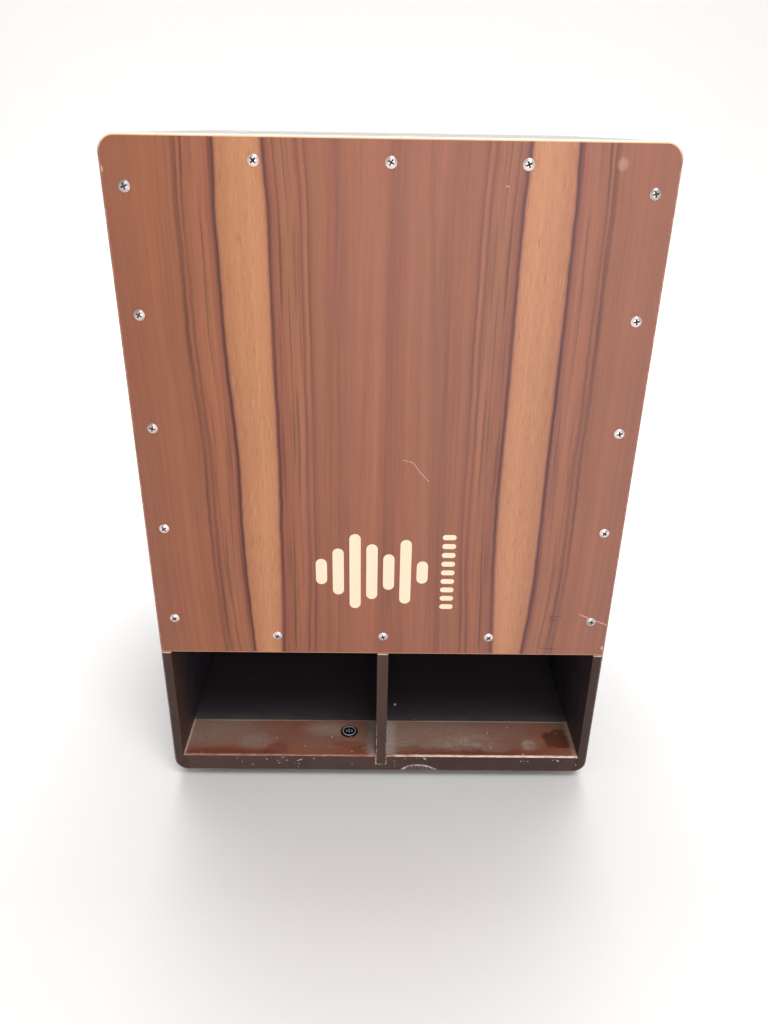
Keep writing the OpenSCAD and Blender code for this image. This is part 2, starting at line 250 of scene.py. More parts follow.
veneerSpec = {
    "mirror": 3.0,          # mm, where the two matched leaves meet
    "colours": {
        "field": "#945A44", "warm": "#9E6349", "outer": "#9A5F45", "rim": "#935B46",
        "soft": "#7E4A3A", "near": "#8D5442", "dark": "#62352E", "lip": "#A86D52",
        "pale": "#BC7F5B", "bright": "#C48861", "shade": "#B47755", "thread": "#A05743", "heart": "#875145",
        "pore": "#7E4B31", "spark": "#DDA880", "scratch": "#DDB0A0", "dent": "#4A2D29",
    },
    "warmth": (0.99, 0.98, 0.92, 1.0),      # painted warm light towards the upper left
    "haze": (0.022, 0.025, 0.032, 1.0),     # painted cool sheen of the lacquer on the right, standing in for its reflection
    # mm from the mirror line, and the colour there
    "bands": [
        (0, "field"), (26, "warm"), (36, "field"), (48, "warm"), (52.4, "field"), (53.8, "soft"),
        (55.2, "warm"), (57.0, "field"), (58.3, "soft"), (59.8, "warm"), (69, "warm"), (74, "field"),
        (76.2, "near"), (77.6, "dark"), (78.6, "dark"), (79.8, "lip"), (81.5, "pale"), (92, "bright"),
        (101, "pale"), (108, "shade"), (109.4, "lip"), (110.6, "dark"), (111.5, "dark"), (113, "near"),
        (117, "warm"), (128.4, "outer"), (130, "soft"), (131.6, "outer"), (134.3, "soft"), (136, "outer"),
        (158, "outer"), (176, "rim"),
    ],
    # mm that the lines close in: at the foot, at the head, and on the left leaf alone
    "pinch": {"middle": 94, "ease": 12, "foot": 5.5, "head": 1.6, "leftWaist": 4.0, "leftSlack": 2.0},
    # start and end (mm across, mm up) and width
    "scratches": [
        ((12, 286.5), (19, 284.8), 0.38), ((19, 284.8), (24.5, 277), 0.34), ((24.5, 277), (31, 270), 0.38),
        ((151, 160), (176, 149.5), 0.6), ((69.6, 466), (72, 465.4), 0.4),
    ],
    "dents": [
        ((124.5, 157.2), (137.5, 158), 0.6), ((125.5, 154.6), (134, 155), 0.4),
        ((121.5, 128.4), (136, 127.6), 0.7), ((129, 160), (129.8, 151), 0.35),
        ((132.6, 128.6), (132.9, 123), 0.4),
    ],
    # middle, radii and strength
    "chips": [((-173.6, 472), (1.0, 1.8), 1.0), ((173, 129), (1.2, 1.6), 1.0), ((139, 479), (3, 3.6), 0.28)],
}


def walnutFace():
    s = Shader("walnutFace")
    spec = veneerSpec
    colours = spec["colours"]
    # the lines drift over long stretches and tremble over short ones
    drift = s.plus(s.noise(s.stretch(0.008, 0, 0.009), detail=1), -0.5)
    tremble = s.plus(s.noise(s.stretch(0.06, 0, 0.07, (9, 0, 4)), detail=3, rough=0.6), -0.5)
    across = s.plus(s.x, -spec["mirror"], s.times(drift, 3.0), s.times(tremble, 1.5))
    leaf = s.calc("ABSOLUTE", across)
    pinch = spec["pinch"]
    side = s.span(leaf, pinch["middle"] - pinch["ease"], pinch["middle"] + pinch["ease"], -1, 1)
    low = s.calc("POWER", s.span(s.height, 250, 112, smooth=False), 2)
    closing = s.plus(s.times(low, pinch["foot"]), s.span(s.height, 445, 492, 0, pinch["head"]))
    left = s.span(across, 3, -3)
    waist = s.times(s.calc("MAXIMUM", side, 0.0), s.span(s.height, 405, 275, 0, pinch["leftWaist"]))
    slack = s.times(s.calc("MAXIMUM", s.times(side, -1.0), 0.0), s.times(low, pinch["leftSlack"]))
    lines = s.plus(leaf, s.times(side, closing), s.times(left, s.plus(waist, slack)))
    reach = spec["bands"][-1][0]
    base = s.ramp(s.times(lines, 1 / reach), [(at / reach, colours[name]) for at, name in spec["bands"]])
    # heart figure: lines that open out towards the foot
    spread = s.span(s.height, 450, 200, 1.0, 1.85, smooth=False)
    calm = s.span(leaf, 18, 56)
    opened = s.times(s.calc("DIVIDE", across, spread), s.calc("SUBTRACT", 1.0, calm))
    heartX = s.plus(opened, s.times(across, calm))
    heart = s.noise(s.combine(s.times(heartX, 0.13), 2.6, s.times(s.z, 0.0014)), detail=4, rough=0.62)
    heartMask = s.span(leaf, 40, 54, 1, 0)
    # grain of several widths, all running up the plate
    wide = s.noise(s.combine(s.times(lines, 0.15), 0.0, s.times(s.z, 0.0010)), detail=2, rough=0.55)
    medium = s.noise(s.combine(s.times(lines, 0.44), 0.0, s.times(s.z, 0.0075)), detail=3, rough=0.64)
    fine = s.noise(s.combine(s.times(across, 1.5), 0.0, s.times(s.z, 0.05)), detail=3, rough=0.6)
    cloud = s.noise(s.stretch(0.02, 0, 0.012, (40, 0, 9)), detail=2)
    stripe = s.times(s.span(lines, 79.4, 81), s.span(lines, 109.5, 108))
    within = s.times(s.span(lines, 52, 60), s.span(lines, 79, 76))
    beyond = s.times(s.span(lines, 110, 113), s.span(lines, 140, 134))
    busy = s.plus(within, beyond)      # most lines lie to either side of the pale stripe
    grainDepth = s.plus(0.34, s.times(busy, 0.32), s.times(stripe, -0.20))
    # thin dark threads, closest together between the paired lines
    thin = s.noise(s.combine(s.times(lines, 0.56), 3.0, s.times(s.z, 0.0085)), detail=2, rough=0.5)
    threads = s.times(s.span(thin, 0.51, 0.65), s.plus(0.05, s.times(busy, 0.22), s.times(stripe, -0.03)))
    # the height term paints light: the plate is a little lighter towards its top
    tone = s.plus(
        s.span(s.height, 490, 340, 0.96, 0.90), s.times(threads, -1.0),
        s.swing(wide, 0.34), s.swing(medium, grainDepth), s.swing(fine, 0.21), s.swing(cloud, 0.12),
        s.times(s.swing(heart, heartMask), 0.62),
    )
    colour = s.mix(1.0, base, s.combine(tone, tone, tone), "MULTIPLY")
    # redder threads outside the pale stripes
    thread = s.noise(s.combine(s.times(lines, 0.30), 7.0, s.times(s.z, 0.0034)), detail=3, rough=0.6)
    redder = s.times(s.span(thread, 0.52, 0.66, 0, 0.30), s.calc("SUBTRACT", 1.0, stripe))
    colour = s.mix(redder, colour, colours["thread"])
    colour = s.mix(s.times(s.span(heart, 0.48, 0.34, 0, 0.25), heartMask), colour, colours["heart"])
    # open pores: dark dashes, longer and fainter in the dark wood
    pores = s.noise(s.combine(s.times(across, 2.4), 0.0, s.times(s.z, 0.085)), detail=2)
    dash = s.span(pores, 0.56, 0.68)
    colour = s.mix(s.times(dash, s.plus(0.16, s.times(stripe, 0.26))), colour, colours["pore"])
    spark = s.times(s.span(pores, 0.42, 0.30, 0, 0.34), stripe)
    colour = s.mix(spark, colour, colours["spark"])
    # painted light: a warm cast on the upper left, and a cool sheen added towards the right and the top
    warmLitArea = s.times(s.span(s.x, 40, -120), s.span(s.height, 200, 400))
    colour = s.mix(warmLitArea, colour, spec["warmth"], "MULTIPLY")
    paintedSheen = s.plus(s.span(s.x, -90, 165, smooth=False), s.span(s.height, 380, 492, 0, 0.12))
    colour = s.mix(paintedSheen, colour, spec["haze"], "ADD")
    broken = s.span(s.noise(s.stretch(0.6, 0, 0.6), detail=2), 0.30, 0.52)
    marks = s.times(s.strokes(spec["scratches"]), broken)
    for middle, radii, weight in spec["chips"]:
        marks = s.plus(marks, s.times(s.blot(middle, radii, 0.4), weight))
    colour = s.mix(s.calc("MINIMUM", marks, 0.66), colour, colours["scratch"])
    dents = s.times(s.strokes(spec["dents"]), s.span(s.noise(s.stretch(0.35, 0, 0.35), detail=2), 0.35, 0.55))
    colour = s.mix(s.calc("MINIMUM", s.times(dents, 0.6), 0.6), colour, colours["dent"])
    rough = s.plus(0.42, s.swing(fine, 0.14), s.times(dash, 0.08))
    relief = s.plus(s.times(fine, 0.4), s.times(dash, -0.6), s.times(dents, -2.0), s.times(marks, -1.0))
    normal = s.bump(relief, 0.00005, 0.5)
    return s.finish(colour, rough, normal, Specular_IOR_Level=0.28)


def plyEdge():
    # the plate's eased edge: bare cross-cut plies along the top, stained along the sides
    s = Shader("plyEdge")
    nick = s.noise(s.stretch(0.22, 0.5, 0.22), detail=4, rough=0.6)
    pale = s.mix(s.span(s.depth, 0.02, 0.40), "#E8BC94", "#FFF3DA")
    pale = s.mix(s.span(nick, 0.56, 0.70, 0, 0.35), pale, "#D9A27C")
    side = s.mix(s.span(nick, 0.42, 0.66), "#96604D", "#B8846F")
    colour = s.mix(s.span(s.height, 479, 490), side, pale)
    foot = s.mix(nick, "#A06C53", "#C6967A")
    colour = s.mix(s.span(s.height, 128, 124), colour, foot)
    return s.finish(colour, 0.5, s.bump(nick, 0.0001, 0.4))


def frontOnly(s):
    # 1 on the boards' front edges, 0 behind them
    return s.span(s.depth, 3.5, 1.7)


paintSpec = {
    "brown": "#452F29", "warm": "#4A322B", "seat": "#5F3C35", "seatSheen": "#6E473E",
    "dust": "#93857F", "speck": "#C9BCB8",
    # painted shade on the panels' front edges: how much for each, and the colour it darkens towards
    "paintedFrontShade": {"side": 0.60, "rightSide": 0.10, "foot": 0.34, "colour": "#2A120E"},
    "orangePeel": 0.35,      # scale per mm of the sprayed paint's texture
}


def brownPaint(name, details=None, gloss=0.42, shades=("brown", "warm")):
    # satin sprayed paint; details adds a panel's own wear
    s = Shader(name)
    patch = s.evenNoise(0.012, detail=3, rough=0.6)
    colour = s.mix(s.span(patch, 0.35, 0.65), *(paintSpec[shade] for shade in shades))
    # painted shade: the panels' front edges are darker, the sides most, and the bottom one on its right
    shade = paintSpec["paintedFrontShade"]
    aside = s.calc("ABSOLUTE", s.x)
    sides = s.plus(s.span(aside, 162, 165, 0, shade["side"]), s.span(s.x, 0, 160, 0, shade["rightSide"]))
    darker = s.calc("MAXIMUM", sides, s.span(s.x, -10, 40, 0, shade["foot"]))
    colour = s.mix(s.times(darker, frontOnly(s)), colour, shade["colour"])
    film = s.noise(s.stretch(0.05, 0.05, 0.03, (7, 3, 1)), detail=5, rough=0.7)
    colour = s.mix(s.span(film, 0.5, 0.8, 0, 0.07), colour, paintSpec["dust"])
    # dust specks and pin-prick chips
    ragged = s.times(s.evenNoise(1.4, detail=2), 0.06)
    speck = s.specks(0.075, 0, 0.62, 0.012, 0.0, ragged)
    colour = s.mix(s.times(speck, 0.8), colour, paintSpec["speck"])
    rough = s.plus(gloss, s.swing(film, 0.25), s.times(speck, 0.2))
    relief = s.noise(s.point, scale=paintSpec["orangePeel"], detail=2)
    if details:
        colour, rough = details(s, colour, rough)
    return s.finish(colour, rough, s.bump(relief, 0.00003, 0.4), Specular_IOR_Level=0.35)


footWear = {
    "seam": "#D9CBD2", "bare": "#71626A", "rim": "#C7B9C1", "dot": "#CDBFC2", "chip": "#CFC3C6",
    # mm across and mm up
    "scuff": dict(middle=(31.5, -1.5), radii=(16, 9.0)),        # rubbed patch at the lower edge
    "flake": dict(middle=(161, 16.4), radii=(2.4, 0.8)),
    "nicks": [
        ((36, 14.6), (38.5, 12.4), 0.9), ((148.6, 13.8), (151.6, 11.4), 0.9), ((-72, 10.2), (-67, 12.4), 0.9),
        ((-71, 8), (-69, 7), 0.9), ((38, 6), (48, 1.4), 0.9),
    ],
    "dots": [
        (-122, 13), (-118, 9), (-109, 6), (-97, 12), (-88, 10.5), (-86.5, 8), (-84, 14), (-80, 11), (-57, 13),
        (99, 15.6), (119, 11.6), (121.5, 11.9), (125, 11.5), (146, 13), (166.5, 8), (167, 15.6),
    ],
    "dotRadii": (0.52, 0.46),
}


def footPaint():
    # front of the bottom panel: the divider's housing shows through, and the lower edge is scuffed
    slotLow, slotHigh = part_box("port_divider")
    halfSlot = (slotHigh.x - slotLow.x) / 2 / mm + 0.1
    slotFoot = (slotLow.z - boxBottom) / mm
    floorTop = (portFloor - boxBottom) / mm

    def details(s, colour, rough):
        front = frontOnly(s)
        grit = s.evenNoise(0.55, detail=4, rough=0.65)
        beside = s.plus(s.calc("ABSOLUTE", s.x), -halfSlot)
        below = s.calc("SUBTRACT", slotFoot, s.height)
        outline = s.calc("ABSOLUTE", s.calc("MAXIMUM", beside, below))
        seam = s.times(s.span(outline, 0.12, 0.55, 1, 0), s.span(s.height, floorTop + 0.5, floorTop - 0.5))
        leftMore = s.span(s.x, 2, -3, 0.0, 0.14)
        dotted = s.evenNoise(1.1, (2, 0, 6), detail=2)
        seam = s.times(seam, front, s.span(s.plus(dotted, leftMore), 0.47, 0.58))
        colour = s.mix(s.times(seam, 0.85), colour, footWear["seam"])
        reach = s.plus(s.oval(**footWear["scuff"]), s.swing(grit, 0.35))
        inside = s.times(s.span(reach, 1.02, 0.94), front)
        rim = s.times(s.span(reach, 0.78, 0.93), inside)
        slant = s.times(s.plus(s.x, s.times(s.height, -0.6)), 0.7)
        lines = s.noise(s.combine(slant, 0.0, s.times(s.height, 0.25)), detail=3)
        colour = s.mix(s.times(inside, s.span(lines, 0.40, 0.60, 0.10, 0.75)), colour, footWear["bare"])
        colour = s.mix(s.times(rim, s.span(grit, 0.38, 0.56, 0.2, 1.0)), colour, footWear["rim"])
        cluster = s.span(s.evenNoise(0.03, (5, 0, 2), detail=2), 0.50, 0.62)
        dot = s.times(s.specks(0.33, 0, 0.70, 0.20, 0.10), cluster)
        colour = s.mix(s.times(dot, 0.75), colour, footWear["dot"])
        nicks = s.times(s.strokes(footWear["nicks"]), s.span(grit, 0.40, 0.55))
        chips = s.plus(s.blot(**footWear["flake"]), nicks)
        for middle in footWear["dots"]:
            chips = s.plus(chips, s.blot(middle, footWear["dotRadii"], 0.45, ragged=s.swing(grit, 2.0)))
        chips = s.times(s.calc("MINIMUM", chips, 0.85), front)
        colour = s.mix(chips, colour, footWear["chip"])
        return colour, s.plus(rough, s.times(inside, 0.2))

    return brownPaint("footPaint", details)


portSpec = {
    "paintDepth": 43.5,      # mm of brown paint behind the face; black beyond
    "brown": "#A46754", "deep": "#8F523F", "wiped": "#56301F", "ridge": "#C9B5A7", "glue": "#DDBBAC",
    "dust": "#BAA798", "greyDust": "#9A8676", "thickDust": "#CDC0B4", "speck": "#F6ECE6",
    "black": "#4C454B", "lighterBlack": "#7F746B",
    "wallBrown": "#4F382F", "leftBlack": "#3A353B", "rightShadedBlack": "#2D2930",
    "film": "#8A8480", "fleck": "#E0D8D2",
    # where the dust has settled: middle (mm across, mm behind the face), radii, amount
    "drifts": [
        ((-145, 30), (38, 18), 0.40), ((-107, 16), (13, 8), 0.46), ((-44, 33), (20, 9), 0.58),
        ((34, 26), (44, 20), 0.42), ((96, 31), (26, 11), 0.20),
    ],
    # where it was wiped off again
    "swept": [
        ((-89, 4), (12, 9), 0.9), ((-140, 1), (34, 6), 0.8), ((-28, 13), (15, 5), 0.7),
        ((79, 5), (11, 8), 0.9), ((153, 21), (11.5, 9.5), 1.0), ((156, 31), (7, 4), 0.8),
    ],
    # middle and radii
    "clump": ((127.8, 14), (6.6, 7)),
    "smears": ((76, 15), (26, 9)),
    "lint": ((12.9, 66.5), (1.1, 1.7)),      # a white crumb far back in the right port
}


def portFloorPaint():
    # brown at the mouth of the ports and black further in, under a veil of dust
    s = Shader("portFloorPaint")
    spec = portSpec
    wall = innerX / mm
    flow = s.noise(s.stretch(0.016, 0.03, 0.02, (3, 11, 5)), detail=3, rough=0.5, warp=0.4)
    wipe = s.noise(s.stretch(0.022, 0.045, 0.02, (31, 2, 8)), detail=4, rough=0.55, warp=0.8)
    grit = s.evenNoise(0.9, detail=4, rough=0.7)
    brown = s.mix(s.span(flow, 0.35, 0.65), spec["brown"], spec["deep"])
    aside = s.calc("ABSOLUTE", s.x)
    nearDivider = s.span(aside, 34, 6)
    nearWall = s.span(aside, wall - 16, wall)
    # dust lies thick at the back and thin at the front, with a few wiped patches
    cover = s.plus(
        0.20, s.swing(flow, 1.1), s.swing(wipe, 1.0),
        s.times(nearDivider, 0.30), s.times(nearWall, 0.20),
        s.span(s.plus(s.depth, s.swing(wipe, 26)), 6, 11, -0.45, 0.0))
    wander = s.plus(s.swing(wipe, 1.6), s.swing(grit, 0.35))
    for middle, radii, weight in spec["drifts"]:
        drift = s.blot(middle, radii, 0.5, "floor", wander)
        cover = s.plus(cover, s.times(drift, weight))
    cover = s.calc("MAXIMUM", s.calc("MINIMUM", cover, 1.0), 0.0)
    wiped = 0.0
    for middle, radii, weight in spec["swept"]:
        oval = s.blot(middle, radii, 0.14, "floor", wander)
        wiped = s.calc("MAXIMUM", wiped, s.times(oval, weight))
    cover = s.times(cover, s.span(wiped, 0, 1, 1, 0.10))
    dark = s.times(wiped, s.span(s.x, 120, 150, 0.25, 0.75))
    brown = s.mix(dark, brown, spec["wiped"])
    streaks = s.noise(s.stretch(0.10, 0.13, 0.1, (6, 1, 0)), detail=6, rough=0.72, warp=0.5)
    clump = s.blot(*spec["clump"], 0.25, "floor", wander)
    clump = s.times(clump, s.span(streaks, 0.40, 0.60, 0.30, 1.0))
    smears = s.blot(*spec["smears"], 0.45, "floor", wander)
    smears = s.times(smears, s.span(streaks, 0.42, 0.64, 0.15, 0.9))
    banked = s.span(s.plus(aside, s.swing(wipe, 12)), 15, 5, 0, 0.6)
    dust = s.mix(s.span(grit, 0.35, 0.65), spec["dust"], spec["greyDust"])
    colour = s.mix(s.times(cover, 0.80), brown, dust)
    heaps = s.calc("MINIMUM", s.plus(clump, s.times(smears, 0.75)), 1.0)
    colour = s.mix(s.times(heaps, 0.62), colour, spec["thickDust"])
    colour = s.mix(banked, colour, spec["thickDust"])
    # black paint, lighter just behind the brown and fading further in
    reach = s.span(s.depth, spec["paintDepth"] + 1, spec["paintDepth"] + 15, 0.42, 0.0)
    haze = s.times(reach, s.span(s.plus(wipe, s.times(grit, 0.25)), 0.42, 0.80, 0.15, 1.0))
    black = s.mix(haze, spec["black"], spec["lighterBlack"])
    join = s.plus(s.depth, s.swing(wipe, 1.2))
    colour = s.mix(s.span(join, spec["paintDepth"], spec["paintDepth"] + 0.6), colour, black)
    # painted highlight along the ridge at the paint's edge, with dust on it
    ridge = s.span(s.calc("ABSOLUTE", s.plus(join, -spec["paintDepth"])), 0.35, 1.0, 1, 0)
    ridge = s.times(ridge, s.span(s.plus(flow, s.times(grit, 0.3)), 0.45, 0.75, 0.35, 0.95))
    colour = s.mix(ridge, colour, spec["ridge"])
    # a pale glue line beside the walls
    fillet = s.plus(s.span(s.x, -wall + 2.2, -wall + 1.5), s.span(s.x, wall - 6, wall - 1, 0, 0.7))
    corner = s.times(fillet, s.span(join, spec["paintDepth"] + 4, spec["paintDepth"] - 3))
    colour = s.mix(s.times(corner, s.span(grit, 0.3, 0.6, 0.5, 1.0)), colour, spec["glue"])
    fewer = s.span(s.depth, spec["paintDepth"], spec["paintDepth"] + 3, 1, 0.25)
    speck = s.times(s.specks(0.11, 1, 0.50, 0.085, 0.05), fewer)
    lint = s.blot(*spec["lint"], 0.3, "floor")
    colour = s.mix(s.calc("MINIMUM", s.plus(s.times(speck, 0.9), lint), 1.0), colour, spec["speck"])
    rough = s.calc("MINIMUM", s.plus(0.30, s.times(cover, 0.45)), 0.85)
    return s.finish(colour, rough, s.bump(grit, 0.00004, 0.3), Specular_IOR_Level=0.4)


def portWallPaint():
    # the spray fades from brown to black along the walls; the right side's inner wall gets painted shade
    s = Shader("portWallPaint")
    spec = portSpec
    flow = s.noise(s.stretch(0.02, 0.03, 0.02, (3, 11, 5)), detail=3, rough=0.5)
    grit = s.evenNoise(0.9, detail=3, rough=0.7)
    fade = s.span(s.plus(s.depth, s.swing(flow, 14)), 10, spec["paintDepth"] + 2)
    # painted shade: the right side's inner wall turns black sooner and its black is darker
    fade = s.calc("MAXIMUM", fade, s.span(s.x, 60, 150, 0, 0.8))
    black = s.mix(s.span(s.x, 60, 150), spec["leftBlack"], spec["rightShadedBlack"])
    black = s.mix(s.span(grit, 0.5, 0.9, 0, 0.06), black, spec["film"])
    colour = s.mix(fade, spec["wallBrown"], black)
    fleck = s.specks(0.045, 1, 0.80, 0.035, 0.015)
    colour = s.mix(s.times(fleck, 0.8), colour, spec["fleck"])
    rough = s.span(flow, 0.3, 0.7, 0.42, 0.55)
    return s.finish(colour, rough, s.bump(flow, 0.0001, 0.2), Specular_IOR_Level=0.3)


def wornArrisHighlight():
    # rubbed front edge of the ports' floor with a painted highlight, paler to the right
    s = Shader("wornArrisHighlight")
    nick = s.noise(s.stretch(0.16, 0.9, 0.9), detail=4, rough=0.6)
    right = s.span(s.plus(s.x, s.swing(nick, 60)), -10, 40)
    red = s.mix(s.span(nick, 0.4, 0.62), "#8E5546", "#B07C6D")
    pale = s.mix(s.span(nick, 0.36, 0.6), "#C79F90", "#F0DACD")
    colour = s.mix(right, red, pale)
    return s.finish(colour, 0.4, s.bump(nick, 0.0001, 0.4))


def dividerEdge():
    # the divider's front arris, knocked pale low down
    def details(s, colour, rough):
        nick = s.noise(s.stretch(0.5, 0.5, 0.28), detail=4, rough=0.65)
        worn = s.times(s.span(nick, 0.44, 0.54), s.span(s.height, 62, 26))
        return s.mix(s.times(worn, 0.8), colour, "#C9B7B2"), rough

    return brownPaint("dividerEdge", details)


def softwood():
    s = Shader("softwood")
    bend = s.evenNoise(0.03, detail=2)
    bent = s.combine(s.plus(s.x, s.times(bend, 9)), s.y, s.times(s.z, 0.05))
    rings = s.add("ShaderNodeTexWave", {"Vector": bent, "Scale": 0.12, "Distortion": 2.5, "Detail": 2.0},
        bands_direction="DIAGONAL").outputs["Fac"]
    fibre = s.noise(s.stretch(1.5, 1.5, 0.05), detail=3)
    colour = s.mix(rings, "#D9B98C", "#BC8F5C")
    colour = s.mix(s.span(fibre, 0.4, 0.8, 0, 0.3), colour, "#8F6A42")
    return s.finish(colour, 0.65, s.bump(fibre, 0.0001, 0.3))


def metal(name, code, rough, scratch=0.08, metallic=1.0):
    s = Shader(name)
    grain = s.evenNoise(2.5, detail=3, rough=0.7)
    tarnish = s.evenNoise(0.35, detail=2)
    colour = s.mix(s.span(tarnish, 0.45, 0.75, 0, 0.35), code, "#8C8382")
    # some pieces are duller than others
    dulled = s.evenNoise(0.016, (3, 0, 1), detail=1)
    colour = s.mix(s.span(dulled, 0.44, 0.58, 0, 0.42), colour, "#8A7F80")
    roughness = s.plus(rough, s.swing(grain, scratch * 2))
    return s.finish(colour, roughness, s.bump(grain, 0.00002, 0.5), Metallic=metallic)


def pressedFelt():
    s = Shader("pressedFelt")
    fluff = s.evenNoise(1.8, detail=5, rough=0.7, warp=1.5)
    colour = s.mix(fluff, "#242426", "#48484B")
    return s.finish(colour, 0.95, s.bump(fluff, 0.0003, 0.8), Sheen_Weight=0.3)


def glossBlack():
    s = Shader("glossBlack")
    haze = s.evenNoise(0.5, detail=4)
    colour = s.mix(s.span(haze, 0.45, 0.8, 0, 0.3), "#111114", "#4A4A50")
    return s.finish(colour, s.plus(0.16, s.times(haze, 0.12)))


# finishes that are one noise between two colours: its scale along x, y and z, the part of its
# range that counts, and the depth and strength of its relief
plainLooks = {
    "rawPly": dict(scale=(0.5, 0.5, 0.012), detail=4, broken=0.6, reach=(0.3, 0.7),
        colours=("#D8B58C", "#B98E62"), rough=0.7, relief=(0.0001, 0.3)),
    # paint worn thin along an eased edge
    "rubbedPaint": dict(scale=(0.25, 0.25, 0.12), detail=5, broken=0.7, reach=(0.50, 0.66, 0, 0.7),
        colours=("#583F38", "#8D7468"), rough=0.45, relief=(0.0001, 0.4)),
    # pale top of the ledges
    "paleLedge": dict(scale=(0.6, 0.6, 0.6), detail=4, broken=0.6, reach=(0.3, 0.65),
        colours=("#C9A28A", "#E6C9B4"), rough=0.75, relief=(0.0001, 0.5)),
    "mouldedRubber": dict(scale=(3, 3, 3), detail=3, broken=0.5, reach=(0.4, 0.7),
        colours=("#1B1A1A", "#2B2928"), rough=0.75, relief=(0.0001, 0.4)),
    "creamInk": dict(scale=(1.1, 0, 0.06), detail=3, broken=0.5, reach=(0.3, 0.7),
        colours=("#FFE3C6", "#FADDBF"), rough=0.55, relief=(0.00002, 0.3)),
    "blackPaint": dict(scale=(0.06, 0.06, 0.06), detail=4, broken=0.5, reach=(0.4, 0.8, 0, 0.4),
        colours=("#403C46", "#5A5452"), rough=0.7, relief=(0.0001, 0.3)),
}


def plainFinish(name):
    look = plainLooks[name]
    s = Shader(name)
    grain = s.noise(s.stretch(*look["scale"]), detail=look["detail"], rough=look["broken"])
    colour = s.mix(s.span(grain, *look["reach"]), *look["colours"])
    return s.finish(colour, look["rough"], s.bump(grain, *look["relief"]))


finishes = {
    "walnutFace": walnutFace(), "plyEdge": plyEdge(),
    "brownPaint": brownPaint("brownPaint"), "footPaint": footPaint(), "dividerEdge": dividerEdge(),
    # the seat's two tones are pinker and lighter than the body's paint: painted reflection of the
    # surroundings on the glossy seat
    "seatPaint": brownPaint("seatPaint", gloss=0.14, shades=("seat", "seatSheen")),
    "portFloorPaint": portFloorPaint(), "portWallPaint": portWallPaint(),
    "wornArrisHighlight": wornArrisHighlight(), "softwood": softwood(), "felt": pressedFelt(), "glossBlack": glossBlack(),
    "screwNickel": metal("screwNickel", "#F0E4E2", 0.40),
    # the cross recesses get a dark metal: painted shade in the hollows
    "screwRecessShade": metal("screwRecessShade", "#3E3230", 0.6),
    "zincSteel": metal("zincSteel", "#B9BCC0", 0.38),
    "snareWire": metal("snareWire", "#D0D2D4", 0.22),
    "badgeSilver": metal("badgeSilver", "#CFD3D8", 0.4, metallic=0.35),
}
for look in plainLooks:
    finishes[look] = plainFinish(look)
print("finishes made:", len(finishes))


def makePiece(name, bm, materials, replaced=(), smooth=40, weighted=False):
    bmesh.ops.recalc_face_normals(bm, faces=bm.faces)
    mesh = bpy.data.meshes.new(name)
    bm.to_mesh(mesh)
    bm.free()
    for key in materials:
        mesh.materials.append(finishes[key])
    mesh.shade_smooth()
    mesh.set_sharp_from_angle(angle=math.radians(smooth))
    piece = bpy.data.objects.new(name, mesh)
    scene.collection.objects.link(piece)
    if weighted:
        even = piece.modifiers.new("evenShading", "WEIGHTED_NORMAL")
        even.keep_sharp = True
    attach(piece, "root")
    if replaced:
        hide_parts(*replaced)
    return piece


def boardCopy(nodeName):
    # a CAD board as one welded mesh with whole flat faces
    bm = bmesh.new()
    bm.from_mesh(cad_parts[nodeName].data)
    bmesh.ops.remove_doubles(bm, verts=bm.verts, dist=weld)
    bmesh.ops.dissolve_limit(bm, angle_limit=math.radians(0.5), verts=bm.verts, edges=bm.edges)
    return bm


def near(a, b):
    return abs(a - b) < 0.05 * mm


def spinProfile(bm, profile, steps):
    # a full turn of an outline given as radii and heights
    points = [bm.verts.new((r, 0, z)) for r, z in profile]
    edges = [bm.edges.new(pair) for pair in zip(points, points[1:])]
    bmesh.ops.spin(bm, geom=points + edges, cent=(0, 0, 0), axis=(0, 0, 1), angle=math.tau, steps=steps,
        use_merge=True)
    bmesh.ops.remove_doubles(bm, verts=bm.verts, dist=1e-7)


def ease(bm, radius, test, segments=3, paint=None):
    # round the square edges whose two ends pass the test
    chosen = []
    for edge in bm.edges:
        if len(edge.link_faces) == 2 and edge.calc_face_angle() > math.radians(50):
            a, b = (v.co for v in edge.verts)
            if test(a, b):
                chosen.append(edge)
    if not chosen:
        return
    made = bmesh.ops.bevel(bm, geom=chosen, offset=radius, segments=segments, profile=0.5,
        affect="EDGES", material=-1)
    if paint is not None:
        for face in made["faces"]:
            face.material_index = paint


def bothAt(axis, value):
    return lambda a, b: near(a[axis], value) and near(b[axis], value)


plateSpec = {
    "frontEase": 1.4 * mm, "footEase": 0.7 * mm,
    "rim": 11.5 * mm,        # the rounded corners lie within this of the outer edges
}


def makePlate():
    bm = boardCopy("playing_plate")
    for face in bm.faces:
        face.material_index = 0 if face.normal.y < -0.9 else (2 if face.normal.y > 0.9 else 1)
    onFace = bothAt(1, faceY)
    atFoot = bothAt(2, plateLow.z)

    def outline(a, b):
        rims = [max(abs(p.x) - plateHigh.x, p.z - plateHigh.z) > -plateSpec["rim"] for p in (a, b)]
        return onFace(a, b) and all(rims) and not atFoot(a, b)

    ease(bm, plateSpec["frontEase"], outline, segments=4, paint=1)
    ease(bm, plateSpec["footEase"], lambda a, b: onFace(a, b) and atFoot(a, b), segments=2, paint=1)
    makePiece("playingPlate", bm, ["walnutFace", "plyEdge", "rawPly"], ["playing_plate"],
        weighted=True)


makePlate()
print("plate made")


boxSpec = {
    "mouthEase": 1.3 * mm, "outerEase": 1.5 * mm, "sideEase": 0.6 * mm, "dividerEase": 0.7 * mm,
    "ledgeEase": 0.6 * mm,
    "outerBand": 4 * mm,     # edges this close to a side's outer face get the outer ease
}
slotFootZ = sideLow.z                               # foot of the sides and of the divider
ledgeZ = min(v.co.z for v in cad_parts["right_side_panel"].data.vertices
    if near(v.co.y, faceY) and v.co.z > portFloor + 20 * mm)


